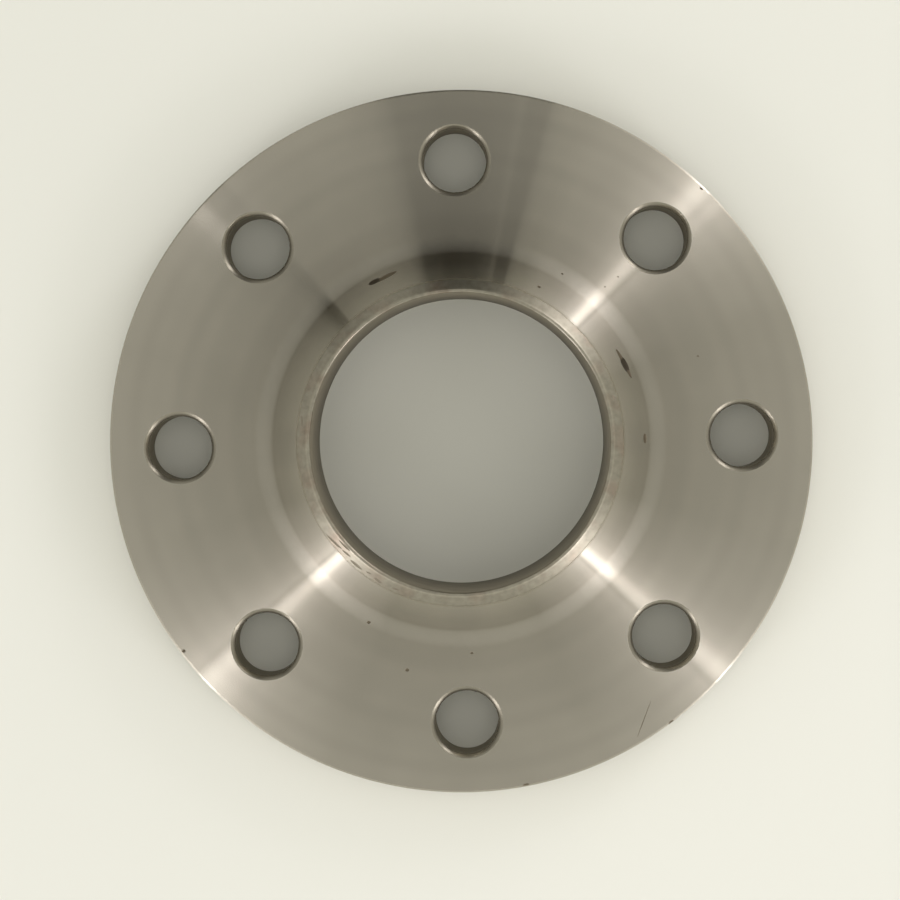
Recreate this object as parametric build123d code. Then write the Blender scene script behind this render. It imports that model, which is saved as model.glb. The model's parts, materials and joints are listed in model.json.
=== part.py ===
"""Weld neck pipe flange: one steel forging, turned all over and drilled for eight bolts.

It stands on its raised gasket face, which lies on Z = 0, and its neck points up along +Z.
The origin is the centre of the raised face. Sizes are in millimetres.
"""

import os
from math import radians, tan

from build123d import *

# Neck, whose end is welded to a pipe of the same bore
neck_diameter = 90.0
wall = 3.75
neck_straight_length = 10.0
neck_blend_radius = 12.0

# Weld preparation at the neck's end: a narrow land with a worn inner edge, and a bevel outside it
land_width = 0.9
bevel_angle = 30.0
land_edge_radius = 0.4

# Hub, the cone that spreads from the neck down to the ring, by its flare on each side
hub_height = 20.0
hub_flare = 10.0
hub_root_radius = 6.0

# Bolt holes, the first one on +X
bolt_circle_diameter = 160.0
bolt_hole_diameter = 18.0
bolt_hole_count = 8
bolt_hole_chamfer = 1.0

# Ring. Its thickness counts the raised face.
ring_thickness = 20.0
bolt_circle_to_rim = 20.0
rim_chamfer = 0.5

# Raised gasket face, which stops short of the bolt holes
raised_face_height = 3.0
raised_face_to_holes = 2.0
raised_face_chamfer = 0.3
step_root_radius = 0.5
bore_mouth_chamfer = 0.5

neck_radius = neck_diameter / 2
bore_radius = neck_radius - wall
land_radius = bore_radius + land_width
hub_foot_radius = neck_radius + hub_flare
bolt_circle_radius = bolt_circle_diameter / 2
bolt_hole_radius = bolt_hole_diameter / 2
ring_radius = bolt_circle_radius + bolt_circle_to_rim
raised_face_radius = bolt_circle_radius - bolt_hole_radius - raised_face_to_holes

cone_top = ring_thickness + hub_height
weld_end = cone_top + neck_straight_length
bevel_foot = weld_end - (neck_radius - land_radius) * tan(radians(bevel_angle))


def corner(section, radius, height):
    """The section's corner nearest to a radius and a height."""
    return section.vertices().sort_by_distance((radius, height))[0]


def turned_section():
    """Half of the cut through the axis, with radius along X and height along Y."""
    outline = [
        (bore_radius, 0),
        (raised_face_radius, 0),
        (raised_face_radius, raised_face_height),
        (ring_radius, raised_face_height),
        (ring_radius, ring_thickness),
        (hub_foot_radius, ring_thickness),
        (neck_radius, cone_top),
        (neck_radius, bevel_foot),
        (land_radius, weld_end),
        (bore_radius, weld_end),
    ]
    rounded = [
        (hub_foot_radius, ring_thickness, hub_root_radius),
        (neck_radius, cone_top, neck_blend_radius),
        (raised_face_radius, raised_face_height, step_root_radius),
        (bore_radius, weld_end, land_edge_radius),
    ]
    chamfered = [
        (ring_radius, ring_thickness, rim_chamfer),
        (ring_radius, raised_face_height, rim_chamfer),
        (raised_face_radius, 0, raised_face_chamfer),
        (bore_radius, 0, bore_mouth_chamfer),
    ]
    section = make_face(Polyline(*outline, close=True))
    for radius, height, size in rounded:
        section = fillet(corner(section, radius, height), size)
    for radius, height, size in chamfered:
        section = chamfer(corner(section, radius, height), size)
    return section


def bolt_hole():
    """What a drill and a countersink take out of the ring, with the drill's axis on Z."""
    mouth_radius = bolt_hole_radius + bolt_hole_chamfer
    outline = [
        (0, 0),
        (mouth_radius, 0),
        (mouth_radius, raised_face_height),
        (bolt_hole_radius, raised_face_height + bolt_hole_chamfer),
        (bolt_hole_radius, ring_thickness - bolt_hole_chamfer),
        (mouth_radius, ring_thickness),
        (mouth_radius, cone_top),
        (0, cone_top),
    ]
    return revolve(Plane.XZ * make_face(Polyline(*outline, close=True)), Axis.Z)


def weld_neck_flange():
    """The forging turned from its section, then drilled round the bolt circle."""
    turned = revolve(Plane.XZ * turned_section(), Axis.Z)
    holes = PolarLocations(bolt_circle_radius, bolt_hole_count) * bolt_hole()
    return turned - holes


os.makedirs("parts", exist_ok=True)
export_step(weld_neck_flange(), "parts/weld_neck_flange.step")
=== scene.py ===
import json
from math import atan2, cos, pi, radians, sin, tan

import bmesh
import bpy
from mathutils import Matrix, Vector


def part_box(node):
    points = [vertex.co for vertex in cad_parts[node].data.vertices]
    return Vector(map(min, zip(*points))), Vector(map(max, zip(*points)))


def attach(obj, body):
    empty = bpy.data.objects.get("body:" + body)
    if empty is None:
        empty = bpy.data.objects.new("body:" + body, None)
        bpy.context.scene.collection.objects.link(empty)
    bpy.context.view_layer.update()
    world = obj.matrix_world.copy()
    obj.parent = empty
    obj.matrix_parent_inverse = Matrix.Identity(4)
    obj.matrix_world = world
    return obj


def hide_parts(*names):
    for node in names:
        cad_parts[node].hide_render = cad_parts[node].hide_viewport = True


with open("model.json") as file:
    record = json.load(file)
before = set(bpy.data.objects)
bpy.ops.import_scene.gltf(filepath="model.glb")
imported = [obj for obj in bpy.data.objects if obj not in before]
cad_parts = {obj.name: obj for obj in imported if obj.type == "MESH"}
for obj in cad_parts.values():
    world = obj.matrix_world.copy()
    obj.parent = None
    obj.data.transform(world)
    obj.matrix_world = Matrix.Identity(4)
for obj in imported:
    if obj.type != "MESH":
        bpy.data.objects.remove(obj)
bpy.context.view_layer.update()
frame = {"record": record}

bl_info = {
    "name": "Weld neck flange",
    "version": (1, 0, 0),
    "blender": (4, 5, 0),
    "location": "View3D > Sidebar > Flange",
    "description": "Models a turned weld neck flange with its finish, and a plain stage to show it on",
    "category": "Add Mesh",
}

NODE = "weld_neck_flange"
MM = 0.001
FULL_TURN = 2 * pi
# Points closer than this, in metres, are one point
SAME_POINT = 0.0001 * MM
# How far past the bore's radius the middle of a face of its wall may lie
WALL_SLACK = 0.02 * MM
# How far up or down a face of a bolt hole looks: less is the drilled wall, and more is the tool's flat end
COUNTERSINK_TILT = (0.05, 0.99)
# An edge that turns more than this is sharp
CREASE = radians(24)
SCREEN_STEPS = 24
HOOD_STEPS = 48
# The camera's roll in degrees, where it stands and what it looks at, right and up in its frame
CAMERA_ROLL = 1.27
CAMERA_PLACE = (5.86 * MM, 8.13 * MM)
CAMERA_TARGET = (-3.31 * MM, -2.63 * MM)
SENSOR_WIDTH = 36.0

# Light across a corner lamp, by degrees from its middle: a bright strip beside a dark seam, in a soft glow
LAMP_PROFILE = (
    (-24, 0.0), (-14, 0.08), (-10, 0.14), (-6, 0.27), (-3, 0.45), (-2.4, 0.32), (-1.8, 0.5), (-1.1, 0.85),
    (-0.4, 1.0), (0.5, 1.0), (1.2, 0.85), (2, 0.6), (3, 0.43), (6, 0.24), (10, 0.13), (14, 0.08), (24, 0.0),
)
# How light the turned steel is painted by radius in metres: painted light at the neck's blend and the outer
# face, and painted shade down the cone and on the inner face
PAINTED_LIGHT_BY_RADIUS = (
    (0.0452, 1.3), (0.0462, 1.06), (0.047, 1.0), (0.05, 0.95), (0.053, 0.91), (0.056, 0.98),
    (0.0585, 1.03), (0.061, 0.97), (0.08, 0.985), (0.089, 1.02), (0.095, 1.08), (0.1, 1.08),
)
# How light the weld end is painted on the way up from this height to the land: painted light at the bevel's
# foot, against its dark reflection, and a painted highlight on the land
PAINTED_WELD_END_LIGHT_START = 47.8 * MM
PAINTED_WELD_END_LIGHT = ((0.0, 2.0), (0.3, 0.98), (0.85, 1.0), (1.0, 1.3))
# Azimuth of each corner lamp in degrees, and how bright it is beside the others
CORNER_LAMPS = ((45.2, 1.05), (222.3, 1.16), (316.5, 1.22))
# How dark the tent is, by azimuth in degrees: across its opening, and beside the corner that has no lamp
OPENING_PROFILE = (
    (64, 0.0), (70.7, 0.2), (73.3, 0.43), (74.1, 0.74), (77.5, 0.78), (78.7, 0.62), (80.2, 0.78), (84.7, 0.9),
    (92.7, 0.94), (100.2, 0.85), (102, 0.6), (105, 0.33), (110, 0.12), (116, 0.0),
)
SEAM_PROFILE = (
    (104, 0.0), (116, 0.18), (131.5, 0.34), (132.2, 0.95), (134.4, 1.0), (135.4, 0.84), (138.5, 0.5),
    (146, 0.24), (165, 0.13), (185, 0.0),
)
mounts = {mount["name"]: mount for mount in frame["record"]["mounts"]}
node_low, node_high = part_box(NODE)
bolt_dims = mounts["bolt_holes"]["dims"]
cad_ring_radius = node_high.x
cad_weld_end = node_high.z
cad_back_face = mounts["nut_seat"]["pos_m"][2]


def length(name, description, default, precision=5):
    """A size in metres, as a property that a user can change."""
    return bpy.props.FloatProperty(
        name=name, description=description, default=default, min=0.0, unit="LENGTH", precision=precision
    )


def amount(name, description, default, high=10.0):
    """A plain number, as a property."""
    return bpy.props.FloatProperty(name=name, description=description, default=default, min=0.0, max=high)


def colour(name, description, code):
    """An sRGB colour written as hex, as a property that holds it in linear light."""
    return bpy.props.FloatVectorProperty(
        name=name, description=description, default=linear(code), size=4, subtype="COLOR", min=0.0, max=1.0
    )


def linear(code):
    """Linear red, green, blue and alpha of an sRGB hex colour."""
    channels = [int(code[i : i + 2], 16) / 255 for i in (1, 3, 5)]
    lit = [c / 12.92 if c <= 0.04045 else ((c + 0.055) / 1.055) ** 2.4 for c in channels]
    return (*lit, 1.0)


class FlangeSizes(bpy.types.PropertyGroup):
    """The sizes of the flange, which agree with the frame."""

    ring_radius: length("Ring radius", "Outside of the bolting ring", cad_ring_radius)
    back_face: length("Back face", "Height of the face that the nuts sit on", cad_back_face)
    rim_chamfer: length("Rim chamfer", "Edge break round the ring's outside", 0.5 * MM)
    bore_radius: length("Bore radius", "Inside of the bore", mounts["bore"]["dims"]["r_mm"] * MM)
    bore_chamfer: length("Bore mouth chamfer", "Edge break where the bore meets the raised face", 0.5 * MM)
    neck_radius: length("Neck radius", "Outside of the straight neck", 45.0 * MM)
    neck_straight: length("Neck length", "Length of the straight neck", 10.0 * MM)
    neck_blend: length("Neck blend", "Radius between the cone and the neck", 12.0 * MM)
    weld_end: length("Weld end", "Height of the land at the neck's end", cad_weld_end)
    land_width: length("Land width", "Narrow land beside the bore, with its worn edge", 0.9 * MM)
    land_edge: length("Land edge", "Radius worn on the edge between the land and the bore", 0.4 * MM)
    bevel_foot_edge: length("Bevel foot edge", "Radius worn on the bevel's outer edge", 0.5 * MM)
    bevel_angle: bpy.props.FloatProperty(
        name="Bevel angle", description="Slope of the weld bevel", default=radians(30), subtype="ANGLE"
    )
    hub_flare: length("Hub flare", "How far the hub's foot stands out from the neck", 10.0 * MM)
    hub_root: length("Hub root", "Radius between the hub and the ring", 6.0 * MM)
    raised_face_radius: length("Raised face radius", "Outside of the gasket face", 69.0 * MM)
    raised_face_height: length("Raised face height", "Step under the ring", 3.0 * MM)
    raised_face_chamfer: length("Raised face chamfer", "Edge break round the gasket face", 0.3 * MM)
    step_root: length("Step root", "Radius where the raised face meets the ring", 0.5 * MM)
    groove_pitch: length("Groove pitch", "Spacing of the gasket face's grooves", 0.8 * MM)
    groove_depth: length("Groove depth", "Depth of the gasket face's grooves", 0.05 * MM)
    bolt_circle: length("Bolt circle", "Radius of the circle of bolt holes", bolt_dims["pcd_mm"] * MM / 2)
    hole_radius: length("Hole radius", "Radius of one bolt hole", bolt_dims["hole_r_mm"] * MM)
    hole_chamfer: length("Hole chamfer", "Countersink at the bolt holes", 1.0 * MM)
    hole_edge: length(
        "Hole edge", "Rounding of the countersink's outer edge, twice that of its inner edge", 0.6 * MM
    )
    hole_count: bpy.props.IntProperty(
        name="Holes", description="Number of bolt holes", default=bolt_dims["count"], min=1
    )
    facets: bpy.props.IntProperty(
        name="Facets", description="Steps round the turned body", default=360, min=24
    )


class FlangeFinish(bpy.types.PropertyGroup):
    """The colours and the gloss of the flange."""

    steel: colour("Steel", "Colour of the turned steel", "#b2ac9d")
    steel_roughness: amount("Roughness", "Roughness of the turned steel", 0.235, 1.0)
    steel_grain: amount("Grain", "How strongly the tool marks stretch a highlight", 0.905, 1.0)
    worn_roughness: amount("Worn roughness", "Roughness of the worn weld end", 0.4, 1.0)
    worn_grain: amount("Worn grain", "How strongly the weld end still stretches a highlight", 0.52, 1.0)
    mark_spacing: length("Tool marks", "Spacing of the turned tool marks as drawn", 0.6 * MM)
    drilled: colour("Drilled steel", "Colour of the bolt holes' walls", "#716750")
    countersunk: colour("Countersunk steel", "Colour of the bolt holes' countersinks", "#8d8777")
    bored: colour("Bored steel", "Colour of the bore's wall", "#7b725e")
    weld_end: colour("Weld end", "Colour of the land and the bevel", "#999383")
    stain: colour("Stain", "Colour of the stains on the weld end", "#8d7868")
    bruise: colour("Bruise", "Colour inside dents and nicks", "#6b614f")
    rub: colour("Rub", "Colour of the shallow knocks along the bevel", "#867d6c")
    # Painted shade in the middles of the two long dents
    dent_shade: colour("Tear", "Colour where the two long dents are torn deepest", "#40382b")


class FlangeStage(bpy.types.PropertyGroup):
    """The floor, the light and the camera."""

    floor: colour("Floor", "Colour of the floor", "#e2e1d6")
    floor_reach: length("Floor reach", "How far the floor reaches from the flange", 3.0)
    tent: colour("Tent", "Colour of the light tent", "#fdfdf8")
    tent_level: amount("Tent light", "How bright the light tent is", 0.5)
    tent_lean: amount("Tent lean", "How much brighter the tent is on its bright side", 0.3, 1.0)
    tent_rise: amount("Tent rise", "How much brighter the tent is overhead", 1.0, 5.0)
    bright_side: amount("Bright side", "Azimuth of the tent's bright side in degrees", 285.0, 360.0)
    corner_reach: length("Corner distance", "How far the tent's corners stand from the flange", 0.8)
    lamp: colour("Lamp", "Colour of the corner lamps", "#f9f6ff")
    lamp_level: amount("Lamp light", "How bright a corner lamp's strip is", 5.8, 100.0)
    lamp_rise: amount("Lamp rise", "How much brighter a corner lamp is at its top", 0.4, 1.0)
    lamp_height: length("Lamp height", "Height of the corner lamps", 0.74)
    overhead_level: amount("Overhead light", "How bright the overhead lamp is", 0.95)
    overhead_height: length("Overhead height", "Height of the overhead lamp", 1.0)
    overhead_size: length("Overhead size", "Diameter of the overhead lamp", 0.5)
    cloth: colour("Cloth", "Colour of the dark screens", "#060606")
    opening_reach: length("Opening distance", "How far the tent's opening is from the flange", 0.21)
    opening_height: length("Opening height", "Height of the tent's opening", 0.3)
    hood: colour("Hood", "Colour of the camera's hood", "#202020")
    hood_height: length("Hood height", "Height of the dark hood round the camera", 0.6)
    hood_radius: length("Hood radius", "Radius of the dark hood round the camera", 0.14)
    camera_height: length("Camera height", "Height of the camera above the floor", 850.0 * MM)
    camera_lens: amount("Focal length", "Focal length in millimetres on a 36 mm wide sensor", 116.7, 500.0)


def polar(radius, azimuth, height):
    """A point by its distance from the axis, its azimuth in degrees and its height."""
    turn = radians(azimuth)
    return Vector((radius * cos(turn), radius * sin(turn), height))


def piece_from(mesh_build, name):
    """A linked object with the mesh of a bmesh, its doubles merged and its faces pointing outwards."""
    bmesh.ops.remove_doubles(mesh_build, verts=mesh_build.verts, dist=SAME_POINT)
    bmesh.ops.recalc_face_normals(mesh_build, faces=mesh_build.faces)
    mesh = bpy.data.meshes.new(name)
    mesh_build.to_mesh(mesh)
    mesh_build.free()
    made = bpy.data.objects.new(name, mesh)
    bpy.context.scene.collection.objects.link(made)
    return made


def outline_of(mesh_build, corners):
    """A closed line in the XZ plane through corners of (radius, height, cut, segments).

    A corner with a cut is bevelled by that length along both of its sides: one segment
    makes a chamfer, and more make a rounding.
    """
    verts = [mesh_build.verts.new((radius, 0, height)) for radius, height, cut, segments in corners]
    for here, there in zip(verts, verts[1:] + verts[:1]):
        mesh_build.edges.new((here, there))
    for vert, (radius, height, cut, segments) in zip(verts, corners):
        if cut:
            bmesh.ops.bevel(
                mesh_build,
                geom=[vert],
                offset=cut,
                offset_type="OFFSET",
                affect="VERTICES",
                segments=segments,
                profile=0.5,
                material=-1,
            )


def revolve(mesh_build, centre, steps):
    """Spins everything in a bmesh a full turn round an upright axis."""
    bmesh.ops.spin(
        mesh_build,
        geom=mesh_build.verts[:] + mesh_build.edges[:],
        cent=centre,
        axis=(0, 0, 1),
        angle=FULL_TURN,
        steps=steps,
        use_merge=True,
    )


def rounding(radius, before, corner, after):
    """How far along its two sides a corner is cut to round it by a radius."""
    opening = (Vector(before) - Vector(corner)).angle(Vector(after) - Vector(corner))
    return radius / tan(opening / 2)


def groove_corners(sizes):
    """The gasket face from the bore outwards, with its shallow concentric grooves.

    A plain margin as wide as the edge break is left beside it at both ends.
    """
    start = sizes.bore_radius + 2 * sizes.bore_chamfer
    end = sizes.raised_face_radius - 2 * sizes.raised_face_chamfer
    count = int((end - start) / sizes.groove_pitch)
    corners = []
    for index in range(count):
        crest = start + index * sizes.groove_pitch
        corners.append((crest, 0, 0, 0))
        corners.append((crest + sizes.groove_pitch / 2, sizes.groove_depth, 0, 0))
    corners.append((start + count * sizes.groove_pitch, 0, 0, 0))
    return corners


def bevel_ends(sizes):
    """The radius where the land meets the bevel, and the height of the bevel's foot."""
    land_radius = sizes.bore_radius + sizes.land_width
    bevel_foot = sizes.weld_end - (sizes.neck_radius - land_radius) * tan(sizes.bevel_angle)
    return land_radius, bevel_foot


def section_corners(sizes):
    """The corners of half the section through the axis."""
    land_radius, bevel_foot = bevel_ends(sizes)
    hub_foot = (sizes.neck_radius + sizes.hub_flare, sizes.back_face)
    rim_top = (sizes.ring_radius, sizes.back_face)
    cone_top = (sizes.neck_radius, sizes.weld_end - sizes.neck_straight)
    neck_end = (sizes.neck_radius, bevel_foot)
    land_end = (land_radius, sizes.weld_end)
    root_cut = rounding(sizes.hub_root, rim_top, hub_foot, cone_top)
    blend_cut = rounding(sizes.neck_blend, hub_foot, cone_top, neck_end)
    foot_cut = rounding(sizes.bevel_foot_edge, cone_top, neck_end, land_end)
    return [
        (sizes.bore_radius, 0, sizes.bore_chamfer, 1),
        *groove_corners(sizes),
        (sizes.raised_face_radius, 0, sizes.raised_face_chamfer, 1),
        (sizes.raised_face_radius, sizes.raised_face_height, sizes.step_root, 4),
        (sizes.ring_radius, sizes.raised_face_height, sizes.rim_chamfer, 1),
        (*rim_top, sizes.rim_chamfer, 1),
        (*hub_foot, root_cut, 14),
        (*cone_top, blend_cut, 8),
        (*neck_end, foot_cut, 4),
        (*land_end, 0, 0),
        (sizes.bore_radius, sizes.weld_end, sizes.land_edge, 6),
    ]


def turned_blank(sizes):
    """The body as the lathe leaves it, before drilling."""
    blank = bmesh.new()
    outline_of(blank, section_corners(sizes))
    revolve(blank, (0, 0, 0), sizes.facets)
    return piece_from(blank, "turned_flange")


def bolt_hole_tools(sizes):
    """What the drill and the countersink take out, once for each bolt hole.

    Past each mouth the tool spreads a little above the ring's face, so that the
    countersink's outer edge runs into the face with a rounding. Its sloping faces
    take the second material and all others the first.
    """
    tools = bmesh.new()
    depth = sizes.hole_chamfer
    edge = sizes.hole_edge
    mouth = sizes.hole_radius + depth
    under, top = sizes.raised_face_height, sizes.back_face
    outline_of(
        tools,
        [
            (0, -under, 0, 0),
            (mouth + depth, -under, 0, 0),
            (mouth + depth, under - edge / 4, 0, 0),
            (mouth, under, edge, 4),
            (sizes.hole_radius, under + depth, edge / 2, 3),
            (sizes.hole_radius, top - depth, edge / 2, 3),
            (mouth, top, edge, 4),
            (mouth + depth, top + edge / 4, 0, 0),
            (mouth + depth, sizes.weld_end, 0, 0),
            (0, sizes.weld_end, 0, 0),
        ],
    )
    revolve(tools, (0, 0, 0), sizes.facets // 4)
    bmesh.ops.translate(tools, verts=tools.verts, vec=(sizes.bolt_circle, 0, 0))
    steps = sizes.hole_count - 1
    bmesh.ops.spin(
        tools,
        geom=tools.verts[:] + tools.edges[:] + tools.faces[:],
        cent=(0, 0, 0),
        axis=(0, 0, 1),
        angle=FULL_TURN * steps / sizes.hole_count,
        steps=steps,
        use_duplicate=True,
    )
    made = piece_from(tools, "bolt_hole_tools")
    wall, flat = COUNTERSINK_TILT
    for face in made.data.polygons:
        face.material_index = int(wall < abs(face.normal.z) < flat)
    return made


class Mark:
    """A small dent, nick or chip that the photographed flange carries."""

    def __init__(self, place, lean, heading, long, wide, deep):
        self.place = place
        self.lean = lean
        self.heading = heading
        self.long = long
        self.wide = wide
        self.deep = deep


def hub_marks(sizes):
    """The dents on the hub's cone, and the deeper middles of the two long ones, which take a painted shade.

    The cone leans out as it goes down.
    """
    run = sizes.hub_flare
    rise = sizes.weld_end - sizes.neck_straight - sizes.back_face
    lean = atan2(rise, run)

    def on_cone(radius, azimuth):
        height = sizes.back_face + (sizes.neck_radius + run - radius) * rise / run
        return polar(radius, azimuth, height)

    dents = [
        Mark(on_cone(51.1 * MM, 24.4), lean, 6, 14.4 * MM, 2.4 * MM, 0.30 * MM),
        Mark(on_cone(51.1 * MM, 113.2), lean, 8, 8.6 * MM, 2.6 * MM, 0.25 * MM),
        Mark(on_cone(52.0 * MM, -0.2), lean, 14, 2.8 * MM, 2.2 * MM, 0.30 * MM),
        Mark(on_cone(48.7 * MM, 61.9), lean, 0, 1.0 * MM, 1.6 * MM, 0.20 * MM),
    ]
    middles = [
        Mark(on_cone(51.1 * MM, 24.0), lean, 6, 5.4 * MM, 3.8 * MM, 0.45 * MM),
        Mark(on_cone(51.3 * MM, 117.0), lean, -12, 3.8 * MM, 3.0 * MM, 0.45 * MM),
    ]
    return dents, middles


def bevel_marks(sizes):
    """The knocks that the weld end took along its bevel."""
    land_radius = bevel_ends(sizes)[0]
    slope = sizes.bevel_angle

    def on_bevel(radius, azimuth):
        return polar(radius, azimuth, sizes.weld_end - (radius - land_radius) * tan(slope))

    return [
        Mark(on_bevel(44.1 * MM, -143.1), slope, 10, 6.8 * MM, 0.7 * MM, 0.16 * MM),
        Mark(on_bevel(42.5 * MM, -139.6), slope, 4, 4.6 * MM, 0.7 * MM, 0.16 * MM),
        Mark(on_bevel(43.6 * MM, -137.0), slope, 8, 3.0 * MM, 0.6 * MM, 0.14 * MM),
        Mark(on_bevel(44.1 * MM, -131.7), slope, 0, 4.3 * MM, 0.8 * MM, 0.16 * MM),
        Mark(on_bevel(43.7 * MM, -126.4), slope, 12, 1.6 * MM, 0.5 * MM, 0.12 * MM),
        Mark(on_bevel(44.1 * MM, -122.0), slope, -6, 2.7 * MM, 0.8 * MM, 0.18 * MM),
        Mark(on_bevel(43.9 * MM, -115.0), slope, 10, 2.2 * MM, 0.6 * MM, 0.14 * MM),
        Mark(on_bevel(43.9 * MM, 15.2), slope, 30, 1.3 * MM, 1.0 * MM, 0.16 * MM),
        Mark(on_bevel(43.9 * MM, 171.0), slope, 12, 3.2 * MM, 0.5 * MM, 0.12 * MM),
    ]


def face_marks(sizes):
    """Pits, nicks and a scratch on the ring's back face, its rim and the hub's root."""
    face = sizes.back_face
    edge = sizes.ring_radius
    return [
        Mark(polar(66.8 * MM, -104.5, face), 0, 20, 1.1 * MM, 0.9 * MM, 0.12 * MM),
        Mark(polar(60.3 * MM, -88.3, face), 0, 0, 0.9 * MM, 0.6 * MM, 0.10 * MM),
        Mark(polar(57.8 * MM, -118.3, face + 0.07 * MM), 0, 30, 1.0 * MM, 0.8 * MM, 0.14 * MM),
        Mark(polar(55.6 * MM, 57.6, face + 0.85 * MM), radians(31), 0, 0.6 * MM, 0.5 * MM, 0.10 * MM),
        Mark(polar(60.1 * MM, 45.8, face), 0, 0, 0.4 * MM, 0.4 * MM, 0.06 * MM),
        Mark(polar(64.7 * MM, 45.1, face), 0, 0, 0.4 * MM, 0.4 * MM, 0.06 * MM),
        Mark(polar(71.6 * MM, 18.6, face), 0, 60, 0.7 * MM, 0.4 * MM, 0.06 * MM),
        Mark(polar(94.6 * MM, -57.8, face), 0, 36, 11.3 * MM, 0.2 * MM, 0.05 * MM),
        Mark(polar(edge - 0.9 * MM, 45.2, face), 0, 5, 1.1 * MM, 0.5 * MM, 0.12 * MM),
        Mark(polar(edge - 1.0 * MM, -144.2, face), 0, 0, 1.0 * MM, 1.0 * MM, 0.30 * MM),
        Mark(polar(edge - 0.5 * MM, -80.5, face), 0, 0, 2.0 * MM, 0.7 * MM, 0.25 * MM),
        Mark(polar(edge, -54.4, face - 0.2 * MM), 0, 0, 2.0 * MM, 1.1 * MM, 0.45 * MM),
    ]


def mark_tools(marks):
    """One flat ellipsoid for each mark, sunk into the surface by the mark's depth.

    The ellipsoid's short half axis is twice the depth, so the surface cuts it at this
    share of its length and width.
    """
    cut_share = sin(radians(60))
    tools = bmesh.new()
    for mark in marks:
        outward = atan2(mark.place.y, mark.place.x)
        turned = (
            Matrix.Rotation(outward, 4, "Z")
            @ Matrix.Rotation(mark.lean, 4, "Y")
            @ Matrix.Rotation(radians(mark.heading), 4, "Z")
        )
        halves = (mark.wide / cut_share / 2, mark.long / cut_share / 2, 2 * mark.deep)
        place = (
            Matrix.Translation(mark.place)
            @ turned
            @ Matrix.Translation((0, 0, mark.deep))
            @ Matrix.Diagonal((*halves, 1))
        )
        bmesh.ops.create_icosphere(tools, subdivisions=4, radius=1, matrix=place)
    return piece_from(tools, "mark_tools")


def share_out(body, sizes):
    """Gives the weld end's faces the second material and the bore's wall the third."""
    worn_from = bevel_ends(sizes)[1] - sizes.bevel_foot_edge
    for face in body.data.polygons:
        radius = face.center.xy.length
        if face.center.z > worn_from and radius > sizes.bore_radius:
            face.material_index = 1
        elif radius < sizes.bore_radius + WALL_SLACK:
            face.material_index = 2


def cut_away(piece, tools):
    """Takes the tools' shape out of a piece, gives the cut faces the tools' material and drops the tools.

    No two shapes in one set of tools may overlap.
    """
    cut = piece.modifiers.new("cut", "BOOLEAN")
    cut.object = tools
    cut.operation = "DIFFERENCE"
    cut.solver = "EXACT"
    cut.material_mode = "TRANSFER"
    finished = piece.evaluated_get(bpy.context.evaluated_depsgraph_get())
    mesh = bpy.data.meshes.new_from_object(finished)
    piece.modifiers.remove(cut)
    before = piece.data
    piece.data = mesh
    bpy.data.meshes.remove(before)
    bpy.data.meshes.remove(tools.data)


def shade(piece):
    """Smooth shading, with sharp edges at the creases and wherever one finish ends at another.

    Weighted normals keep the flat faces flat beside the roundings.
    """
    piece.data.shade_smooth()
    piece.data.set_sharp_from_angle(angle=CREASE)
    edges = bmesh.new()
    edges.from_mesh(piece.data)
    for edge in edges.edges:
        if len({face.material_index for face in edge.link_faces}) > 1:
            edge.smooth = False
    edges.to_mesh(piece.data)
    edges.free()
    weighted = piece.modifiers.new("weighted_normals", "WEIGHTED_NORMAL")
    weighted.keep_sharp = True


def add_node(tree, kind, inputs=None, stops=(), **properties):
    """Adds a node, sets its properties and a ramp's stops, and gives each named input a value or a link."""
    made = tree.nodes.new(kind)
    for name, value in properties.items():
        setattr(made, name, value)
    for index, (place, level) in enumerate(stops):
        elements = made.color_ramp.elements
        stop = elements[index] if index < 2 else elements.new(place)
        stop.position = place
        stop.color = (level, level, level, 1.0)
    for name, value in (inputs or {}).items():
        if isinstance(value, bpy.types.NodeSocket):
            tree.links.new(value, made.inputs[name])
        else:
            made.inputs[name].default_value = value
    return made


def new_material(name):
    """An empty node material and its tree."""
    material = bpy.data.materials.new(name)
    material.use_nodes = True
    material.node_tree.nodes.clear()
    return material, material.node_tree


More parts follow.
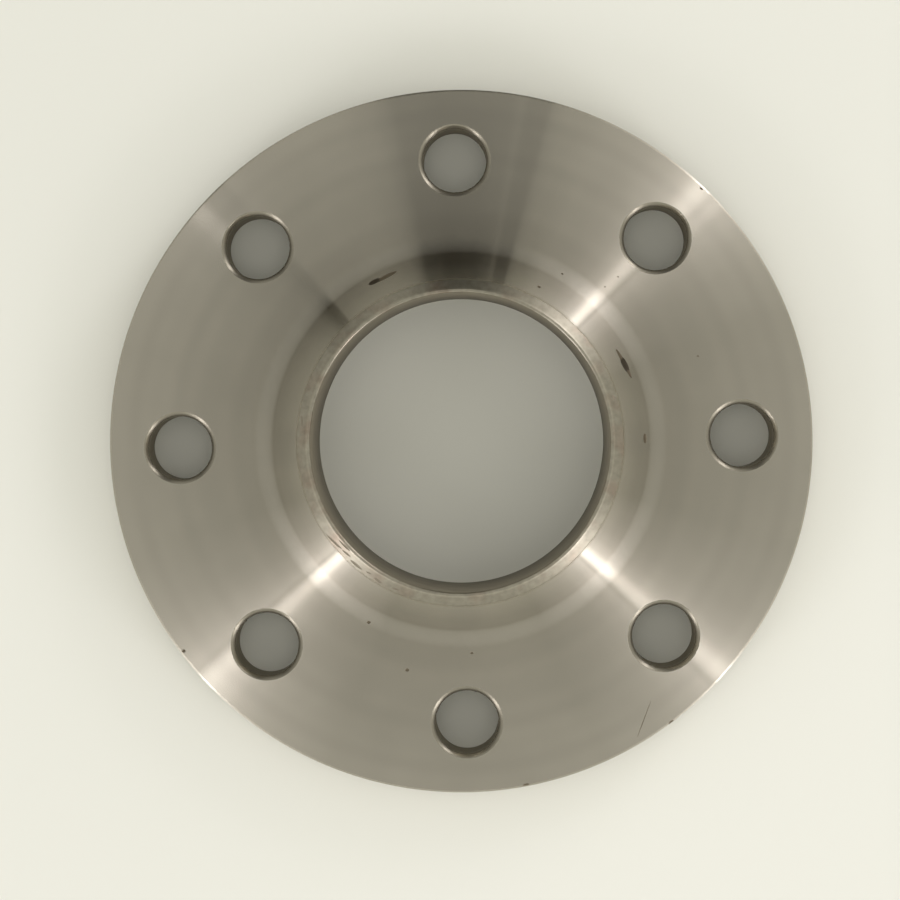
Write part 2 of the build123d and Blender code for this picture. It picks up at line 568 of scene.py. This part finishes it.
def turned_steel(finish):
    """Steel with a fine lathe finish.

    Its circular tool marks are too fine to see one by one. They pull each highlight out
    into a radial streak, which is what gives the eye a turned face. The faint marks that
    the bump draws are coarser than real ones, so that they show.
    """
    material, tree = new_material("turned_steel")
    place = add_node(tree, "ShaderNodeTexCoord").outputs["Object"]
    split = add_node(tree, "ShaderNodeSeparateXYZ", {"Vector": place})
    flat = add_node(tree, "ShaderNodeCombineXYZ", {"X": split.outputs["X"], "Y": split.outputs["Y"]})
    radius = add_node(tree, "ShaderNodeVectorMath", {0: flat.outputs[0]}, operation="LENGTH")
    along_marks = add_node(
        tree, "ShaderNodeVectorMath", {0: (0, 0, 1), 1: place}, operation="CROSS_PRODUCT"
    )
    feed = add_node(
        tree, "ShaderNodeMath", {0: radius.outputs["Value"], 1: split.outputs["Z"]}, operation="ADD"
    )
    marks = add_node(
        tree,
        "ShaderNodeTexNoise",
        {"W": feed.outputs[0], "Scale": 1 / finish.mark_spacing, "Detail": 2.0, "Roughness": 0.6},
        noise_dimensions="1D",
    )
    bands = add_node(
        tree,
        "ShaderNodeTexNoise",
        {"W": feed.outputs[0], "Scale": 1 / (9 * MM), "Detail": 1.0},
        noise_dimensions="1D",
    )
    clouds = add_node(tree, "ShaderNodeTexNoise", {"Vector": place, "Scale": 1 / (22 * MM), "Detail": 2.0})
    tone = add_node(
        tree, "ShaderNodeMath", {0: bands.outputs[0], 1: clouds.outputs[0]}, operation="MULTIPLY"
    )
    mottle = add_node(
        tree,
        "ShaderNodeMapRange",
        {"Value": tone.outputs[0], "From Min": 0.1, "From Max": 0.4, "To Min": 0.95, "To Max": 1.05},
    )
    # Painted light and painted shade by radius, on top of the random tone
    painted_radius_light = add_node(tree, "ShaderNodeValToRGB", {"Fac": radius.outputs["Value"]}, stops=PAINTED_LIGHT_BY_RADIUS)
    tone_and_painted_light = add_node(
        tree,
        "ShaderNodeMath",
        {0: mottle.outputs["Result"], 1: painted_radius_light.outputs["Color"]},
        operation="MULTIPLY",
    )
    tint = add_node(
        tree,
        "ShaderNodeVectorMath",
        {0: tuple(finish.steel)[:3], "Scale": tone_and_painted_light.outputs[0]},
        operation="SCALE",
    )
    bump = add_node(
        tree,
        "ShaderNodeBump",
        {"Height": marks.outputs[0], "Strength": 0.04, "Distance": 0.02 * MM},
    )
    shader = add_node(
        tree,
        "ShaderNodeBsdfAnisotropic",
        {
            "Color": tint.outputs["Vector"],
            "Roughness": finish.steel_roughness,
            "Anisotropy": finish.steel_grain,
            "Tangent": along_marks.outputs["Vector"],
            "Normal": bump.outputs["Normal"],
        },
        distribution="BECKMANN",
    )
    add_node(tree, "ShaderNodeOutputMaterial", {"Surface": shader.outputs["BSDF"]})
    return material


def worn_steel(finish):
    """The weld end's steel, handled and knocked.

    It is duller than the turned faces, so a streak fades on it, with pale rubs and brown stains,
    and painted light makes it palest at the bevel's foot and along the land.
    """
    material, tree = new_material("worn_steel")
    place = add_node(tree, "ShaderNodeTexCoord").outputs["Object"]
    along_marks = add_node(
        tree, "ShaderNodeVectorMath", {0: (0, 0, 1), 1: place}, operation="CROSS_PRODUCT"
    )
    rubs = add_node(tree, "ShaderNodeTexNoise", {"Vector": place, "Scale": 1 / (1.6 * MM), "Detail": 4.0})
    mottle = add_node(
        tree,
        "ShaderNodeMapRange",
        {"Value": rubs.outputs[0], "From Min": 0.3, "From Max": 0.7, "To Min": 0.88, "To Max": 1.12},
    )
    split = add_node(tree, "ShaderNodeSeparateXYZ", {"Vector": place})
    climb = add_node(
        tree,
        "ShaderNodeMapRange",
        {"Value": split.outputs["Z"], "From Min": PAINTED_WELD_END_LIGHT_START, "From Max": cad_weld_end},
    )
    # Painted light at the bevel's foot and on the land
    painted_edge_light = add_node(tree, "ShaderNodeValToRGB", {"Fac": climb.outputs["Result"]}, stops=PAINTED_WELD_END_LIGHT)
    tone_and_painted_light = add_node(
        tree, "ShaderNodeMath", {0: mottle.outputs["Result"], 1: painted_edge_light.outputs["Color"]}, operation="MULTIPLY"
    )
    patches = add_node(tree, "ShaderNodeTexNoise", {"Vector": place, "Scale": 1 / (8 * MM), "Detail": 3.0})
    stained = add_node(
        tree,
        "ShaderNodeMapRange",
        {"Value": patches.outputs[0], "From Min": 0.48, "From Max": 0.68, "To Max": 0.45},
    )
    tint = add_node(
        tree,
        "ShaderNodeMix",
        {0: stained.outputs["Result"], 6: tuple(finish.weld_end), 7: tuple(finish.stain)},
        data_type="RGBA",
    )
    toned = add_node(
        tree,
        "ShaderNodeVectorMath",
        {0: tint.outputs[2], "Scale": tone_and_painted_light.outputs[0]},
        operation="SCALE",
    )
    bump = add_node(
        tree, "ShaderNodeBump", {"Height": rubs.outputs[0], "Strength": 0.12, "Distance": 0.05 * MM}
    )
    shader = add_node(
        tree,
        "ShaderNodeBsdfAnisotropic",
        {
            "Color": toned.outputs["Vector"],
            "Roughness": finish.worn_roughness,
            "Anisotropy": finish.worn_grain,
            "Tangent": along_marks.outputs["Vector"],
            "Normal": bump.outputs["Normal"],
        },
        distribution="BECKMANN",
    )
    add_node(tree, "ShaderNodeOutputMaterial", {"Surface": shader.outputs["BSDF"]})
    return material


def drilled_steel(finish):
    """Steel as a drill leaves it: darker and duller, with fine rings down the wall."""
    material, tree = new_material("drilled_steel")
    place = add_node(tree, "ShaderNodeTexCoord").outputs["Object"]
    split = add_node(tree, "ShaderNodeSeparateXYZ", {"Vector": place})
    rings = add_node(
        tree,
        "ShaderNodeTexNoise",
        {"W": split.outputs["Z"], "Scale": 1 / (0.4 * MM), "Detail": 2.0},
        noise_dimensions="1D",
    )
    bump = add_node(
        tree, "ShaderNodeBump", {"Height": rings.outputs[0], "Strength": 0.3, "Distance": 0.02 * MM}
    )
    shader = add_node(
        tree,
        "ShaderNodeBsdfPrincipled",
        {
            "Base Color": tuple(finish.drilled),
            "Metallic": 0.5,
            "Roughness": 0.5,
            "Normal": bump.outputs["Normal"],
        },
    )
    add_node(tree, "ShaderNodeOutputMaterial", {"Surface": shader.outputs["BSDF"]})
    return material


def countersunk_steel(finish):
    """Steel as a countersink leaves it: bright and a little ragged, so it glints where it faces a lamp."""
    material, tree = new_material("countersunk_steel")
    place = add_node(tree, "ShaderNodeTexCoord").outputs["Object"]
    chatter = add_node(tree, "ShaderNodeTexNoise", {"Vector": place, "Scale": 1 / (1.2 * MM), "Detail": 2.0})
    bump = add_node(
        tree, "ShaderNodeBump", {"Height": chatter.outputs[0], "Strength": 0.35, "Distance": 0.1 * MM}
    )
    shader = add_node(
        tree,
        "ShaderNodeBsdfPrincipled",
        {
            "Base Color": tuple(finish.countersunk),
            "Metallic": 0.8,
            "Roughness": 0.27,
            "Normal": bump.outputs["Normal"],
        },
    )
    add_node(tree, "ShaderNodeOutputMaterial", {"Surface": shader.outputs["BSDF"]})
    return material


def bored_steel(finish):
    """Steel bored and dull, with painted shade that makes it darker down the wall and lighter at its top."""
    material, tree = new_material("bored_steel")
    place = add_node(tree, "ShaderNodeTexCoord").outputs["Object"]
    split = add_node(tree, "ShaderNodeSeparateXYZ", {"Vector": place})
    # Painted shade: darker towards the bottom of the wall, lighter towards its top
    painted_wall_shade = add_node(
        tree,
        "ShaderNodeMapRange",
        {"Value": split.outputs["Z"], "From Max": cad_weld_end, "To Min": 0.6, "To Max": 1.3},
    )
    stains = add_node(tree, "ShaderNodeTexNoise", {"Vector": place, "Scale": 1 / (6 * MM), "Detail": 4.0})
    mottle = add_node(
        tree,
        "ShaderNodeMapRange",
        {"Value": stains.outputs[0], "From Min": 0.3, "From Max": 0.7, "To Min": 0.85, "To Max": 1.15},
    )
    tone_and_painted_light = add_node(
        tree,
        "ShaderNodeMath",
        {0: painted_wall_shade.outputs["Result"], 1: mottle.outputs["Result"]},
        operation="MULTIPLY",
    )
    tint = add_node(
        tree,
        "ShaderNodeVectorMath",
        {0: tuple(finish.bored)[:3], "Scale": tone_and_painted_light.outputs[0]},
        operation="SCALE",
    )
    shader = add_node(
        tree,
        "ShaderNodeBsdfPrincipled",
        {"Base Color": tint.outputs["Vector"], "Metallic": 0.4, "Roughness": 0.5},
    )
    add_node(tree, "ShaderNodeOutputMaterial", {"Surface": shader.outputs["BSDF"]})
    return material


def bruised_steel(name, tint):
    """Steel knocked by another part: rough and dull, with no tool marks, in the tint it is given; the darkest
    tint, in the middles of the two long dents, is painted shade.
    """
    material, tree = new_material(name)
    place = add_node(tree, "ShaderNodeTexCoord").outputs["Object"]
    grit = add_node(tree, "ShaderNodeTexNoise", {"Vector": place, "Scale": 1 / (0.4 * MM), "Detail": 3.0})
    bump = add_node(
        tree, "ShaderNodeBump", {"Height": grit.outputs[0], "Strength": 0.5, "Distance": 0.05 * MM}
    )
    shader = add_node(
        tree,
        "ShaderNodeBsdfPrincipled",
        {
            "Base Color": tuple(tint),
            "Metallic": 0.6,
            "Roughness": 0.5,
            "Normal": bump.outputs["Normal"],
        },
    )
    add_node(tree, "ShaderNodeOutputMaterial", {"Surface": shader.outputs["BSDF"]})
    return material


class FLANGE_OT_body(bpy.types.Operator):
    """Turns the flange from its section, drills it and gives it the marks of use"""

    bl_idname = "flange.body"
    bl_label = "Turned flange"

    def execute(self, context):
        sizes = context.scene.flange_sizes
        finish = context.scene.flange_finish
        body = turned_blank(sizes)
        body.data.materials.append(turned_steel(finish))
        body.data.materials.append(worn_steel(finish))
        body.data.materials.append(bored_steel(finish))
        share_out(body, sizes)
        holes = bolt_hole_tools(sizes)
        holes.data.materials.append(drilled_steel(finish))
        holes.data.materials.append(countersunk_steel(finish))
        cut_away(body, holes)
        dents, middles = hub_marks(sizes)
        for marks, name, tint in (
            (dents + face_marks(sizes), "bruised_steel", finish.bruise),
            # The middles' dark tint is painted shade
            (middles, "torn_steel", finish.dent_shade),
            (bevel_marks(sizes), "rubbed_steel", finish.rub),
        ):
            tools = mark_tools(marks)
            tools.data.materials.append(bruised_steel(name, tint))
            cut_away(body, tools)
        shade(body)
        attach(body, "root")
        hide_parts(NODE)
        return {"FINISHED"}


def matte_floor(stage):
    """Matt card: a plain pale floor that takes a soft shadow."""
    material, tree = new_material("matte_card")
    shader = add_node(
        tree,
        "ShaderNodeBsdfPrincipled",
        {"Base Color": tuple(stage.floor), "Roughness": 0.95, "Specular IOR Level": 0.1},
    )
    add_node(tree, "ShaderNodeOutputMaterial", {"Surface": shader.outputs["BSDF"]})
    return material


def light_tent(stage):
    """The world as a pale light tent, a little brighter towards one side and twice as bright overhead."""
    world = bpy.data.worlds.new("light_tent")
    world.use_nodes = True
    tree = world.node_tree
    tree.nodes.clear()
    direction = add_node(tree, "ShaderNodeTexCoord").outputs["Generated"]
    lean = polar(stage.tent_lean, stage.bright_side, stage.tent_rise)
    towards = add_node(tree, "ShaderNodeVectorMath", {0: direction, 1: lean}, operation="DOT_PRODUCT")
    light = add_node(
        tree,
        "ShaderNodeMath",
        {0: towards.outputs["Value"], 1: stage.tent_level, 2: stage.tent_level},
        operation="MULTIPLY_ADD",
    )
    tent = add_node(tree, "ShaderNodeBackground", {"Color": tuple(stage.tent), "Strength": light.outputs[0]})
    add_node(tree, "ShaderNodeOutputWorld", {"Surface": tent.outputs[0]})
    return world


def aim(made, target, up):
    """Turns an object so that it looks at a point with a given side up."""
    back = (made.location - target).normalized()
    right = up.cross(back).normalized()
    made.matrix_world = Matrix.Translation(made.location) @ Matrix(
        (right, back.cross(right), back)
    ).transposed().to_4x4()


def across(profile):
    """A profile's stops with their places turned to shares of its width."""
    start, end = profile[0][0], profile[-1][0]
    return [((place - start) / (end - start), level) for place, level in profile]


def corner_lamp(stage, azimuth, share):
    """A tall lamp in a corner of the tent: a bright strip, and its glow on the walls beside it."""
    lamp = bpy.data.lights.new(f"corner_{azimuth:.0f}", "AREA")
    lamp.shape = "RECTANGLE"
    lamp.size = 2 * stage.corner_reach * tan(radians(LAMP_PROFILE[-1][0]))
    lamp.size_y = stage.lamp_height
    # Its power grows with its area, so that a larger lamp is no dimmer
    lamp.energy = pi * lamp.size * lamp.size_y
    lamp.color = tuple(stage.lamp)[:3]
    lamp.use_nodes = True
    tree = lamp.node_tree
    tree.nodes.clear()
    place = add_node(tree, "ShaderNodeNewGeometry").outputs["Parametric"]
    split = add_node(tree, "ShaderNodeSeparateXYZ", {"Vector": place})
    profile = add_node(tree, "ShaderNodeValToRGB", {"Fac": split.outputs["X"]}, stops=across(LAMP_PROFILE))
    level = add_node(
        tree,
        "ShaderNodeMapRange",
        {
            "Value": split.outputs["Y"],
            "To Min": (1 - stage.lamp_rise) * stage.lamp_level * share,
            "To Max": (1 + stage.lamp_rise) * stage.lamp_level * share,
        },
    )
    light = add_node(
        tree, "ShaderNodeEmission", {"Color": profile.outputs["Color"], "Strength": level.outputs["Result"]}
    )
    add_node(tree, "ShaderNodeOutputLight", {"Surface": light.outputs[0]})
    made = bpy.data.objects.new(lamp.name, lamp)
    made.location = polar(stage.corner_reach, azimuth, stage.lamp_height / 2)
    made.visible_camera = False
    bpy.context.scene.collection.objects.link(made)
    aim(made, Vector((0, 0, stage.lamp_height / 2)), Vector((0, 0, 1)))


def overhead_lamp(stage):
    """A round soft lamp straight above: it lights the floor in the holes and makes no glint in the steel."""
    lamp = bpy.data.lights.new("overhead", "AREA")
    lamp.shape = "DISK"
    lamp.size = stage.overhead_size
    lamp.energy = stage.overhead_level * pi * pi * (lamp.size / 2) ** 2
    made = bpy.data.objects.new(lamp.name, lamp)
    made.location = (0, 0, stage.overhead_height)
    made.visible_camera = False
    made.visible_glossy = False
    bpy.context.scene.collection.objects.link(made)


def only_in_the_steel(card):
    """Puts a card on the stage that only the steel's reflections see, so it leaves no mark on the floor."""
    card.visible_camera = False
    card.visible_diffuse = False
    card.visible_shadow = False


def dark_screen(name, cloth_colour, reach, height, profile):
    """An upright curved screen round the flange, as dark at each azimuth as its profile says."""
    start, end = radians(profile[0][0]), radians(profile[-1][0])
    sheet = bmesh.new()
    foot = sheet.verts.new(polar(reach, profile[0][0], 0))
    top = sheet.verts.new(polar(reach, profile[0][0], height))
    sheet.edges.new((foot, top))
    bmesh.ops.spin(
        sheet,
        geom=sheet.verts[:] + sheet.edges[:],
        cent=(0, 0, 0),
        axis=(0, 0, 1),
        angle=end - start,
        steps=SCREEN_STEPS,
    )
    screen = piece_from(sheet, name)
    material, tree = new_material(f"{name}_cloth")
    place = add_node(tree, "ShaderNodeTexCoord").outputs["Object"]
    split = add_node(tree, "ShaderNodeSeparateXYZ", {"Vector": place})
    azimuth = add_node(
        tree, "ShaderNodeMath", {0: split.outputs["Y"], 1: split.outputs["X"]}, operation="ARCTAN2"
    )
    share = add_node(
        tree, "ShaderNodeMapRange", {"Value": azimuth.outputs[0], "From Min": start, "From Max": end}
    )
    darkness = add_node(tree, "ShaderNodeValToRGB", {"Fac": share.outputs["Result"]}, stops=across(profile))
    clear = add_node(tree, "ShaderNodeBsdfTransparent")
    black = add_node(tree, "ShaderNodeBsdfDiffuse", {"Color": tuple(cloth_colour)})
    cloth = add_node(
        tree,
        "ShaderNodeMixShader",
        {0: darkness.outputs["Color"], 1: clear.outputs[0], 2: black.outputs[0]},
    )
    add_node(tree, "ShaderNodeOutputMaterial", {"Surface": cloth.outputs[0]})
    screen.data.materials.append(material)
    only_in_the_steel(screen)


def camera_hood(stage):
    """The dark underside of the camera above the flange."""
    disc = bmesh.new()
    place = Matrix.Translation((0, 0, stage.hood_height))
    bmesh.ops.create_circle(
        disc, cap_ends=True, segments=HOOD_STEPS, radius=stage.hood_radius, matrix=place
    )
    hood = piece_from(disc, "camera_hood")
    material, tree = new_material("black_plastic")
    black = add_node(tree, "ShaderNodeBsdfDiffuse", {"Color": tuple(stage.hood)})
    add_node(tree, "ShaderNodeOutputMaterial", {"Surface": black.outputs["BSDF"]})
    hood.data.materials.append(material)
    only_in_the_steel(hood)


class FLANGE_OT_stage(bpy.types.Operator):
    """Sets up the floor, the light and the camera"""

    bl_idname = "flange.stage"
    bl_label = "Stage"

    def execute(self, context):
        stage = context.scene.flange_stage
        ground = bmesh.new()
        bmesh.ops.create_grid(ground, x_segments=1, y_segments=1, size=stage.floor_reach)
        floor = piece_from(ground, "floor")
        floor.data.materials.append(matte_floor(stage))

        context.scene.world = light_tent(stage)
        for azimuth, share in CORNER_LAMPS:
            corner_lamp(stage, azimuth, share)
        overhead_lamp(stage)
        dark_screen("tent_opening", stage.cloth, stage.opening_reach, stage.opening_height, OPENING_PROFILE)
        dark_screen("tent_seam", stage.cloth, stage.corner_reach, stage.lamp_height, SEAM_PROFILE)
        camera_hood(stage)

        roll = radians(CAMERA_ROLL)
        right = Vector((cos(roll), -sin(roll), 0))
        up = Vector((sin(roll), cos(roll), 0))
        lens = bpy.data.cameras.new("camera")
        lens.lens = stage.camera_lens
        lens.sensor_width = SENSOR_WIDTH
        camera = bpy.data.objects.new("camera", lens)
        camera.location = right * CAMERA_PLACE[0] + up * CAMERA_PLACE[1]
        camera.location.z = stage.camera_height
        context.scene.collection.objects.link(camera)
        aim(camera, right * CAMERA_TARGET[0] + up * CAMERA_TARGET[1], up)
        context.scene.camera = camera
        context.scene.view_settings.view_transform = "Standard"
        return {"FINISHED"}


class FLANGE_PT_panel(bpy.types.Panel):
    """Lists the operators and their settings"""

    bl_idname = "FLANGE_PT_panel"
    bl_label = "Weld neck flange"
    bl_space_type = "VIEW_3D"
    bl_region_type = "UI"
    bl_category = "Flange"

    def draw(self, context):
        scene = context.scene
        for operator, group in (
            (FLANGE_OT_body, scene.flange_sizes),
            (None, scene.flange_finish),
            (FLANGE_OT_stage, scene.flange_stage),
        ):
            for name in group.__annotations__:
                self.layout.prop(group, name)
            if operator:
                self.layout.operator(operator.bl_idname)


CLASSES = (FlangeSizes, FlangeFinish, FlangeStage, FLANGE_OT_body, FLANGE_OT_stage, FLANGE_PT_panel)


def register():
    """Registers the classes and puts the properties on the scene."""
    for each in CLASSES:
        bpy.utils.register_class(each)
    bpy.types.Scene.flange_sizes = bpy.props.PointerProperty(type=FlangeSizes)
    bpy.types.Scene.flange_finish = bpy.props.PointerProperty(type=FlangeFinish)
    bpy.types.Scene.flange_stage = bpy.props.PointerProperty(type=FlangeStage)


def unregister():
    """Takes the properties off the scene and unregisters the classes."""
    del bpy.types.Scene.flange_sizes
    del bpy.types.Scene.flange_finish
    del bpy.types.Scene.flange_stage
    for each in reversed(CLASSES):
        bpy.utils.unregister_class(each)


def main():
    """Builds the flange and its stage."""
    register()
    bpy.ops.flange.body()
    bpy.ops.flange.stage()


if __name__ == "__main__":
    main()
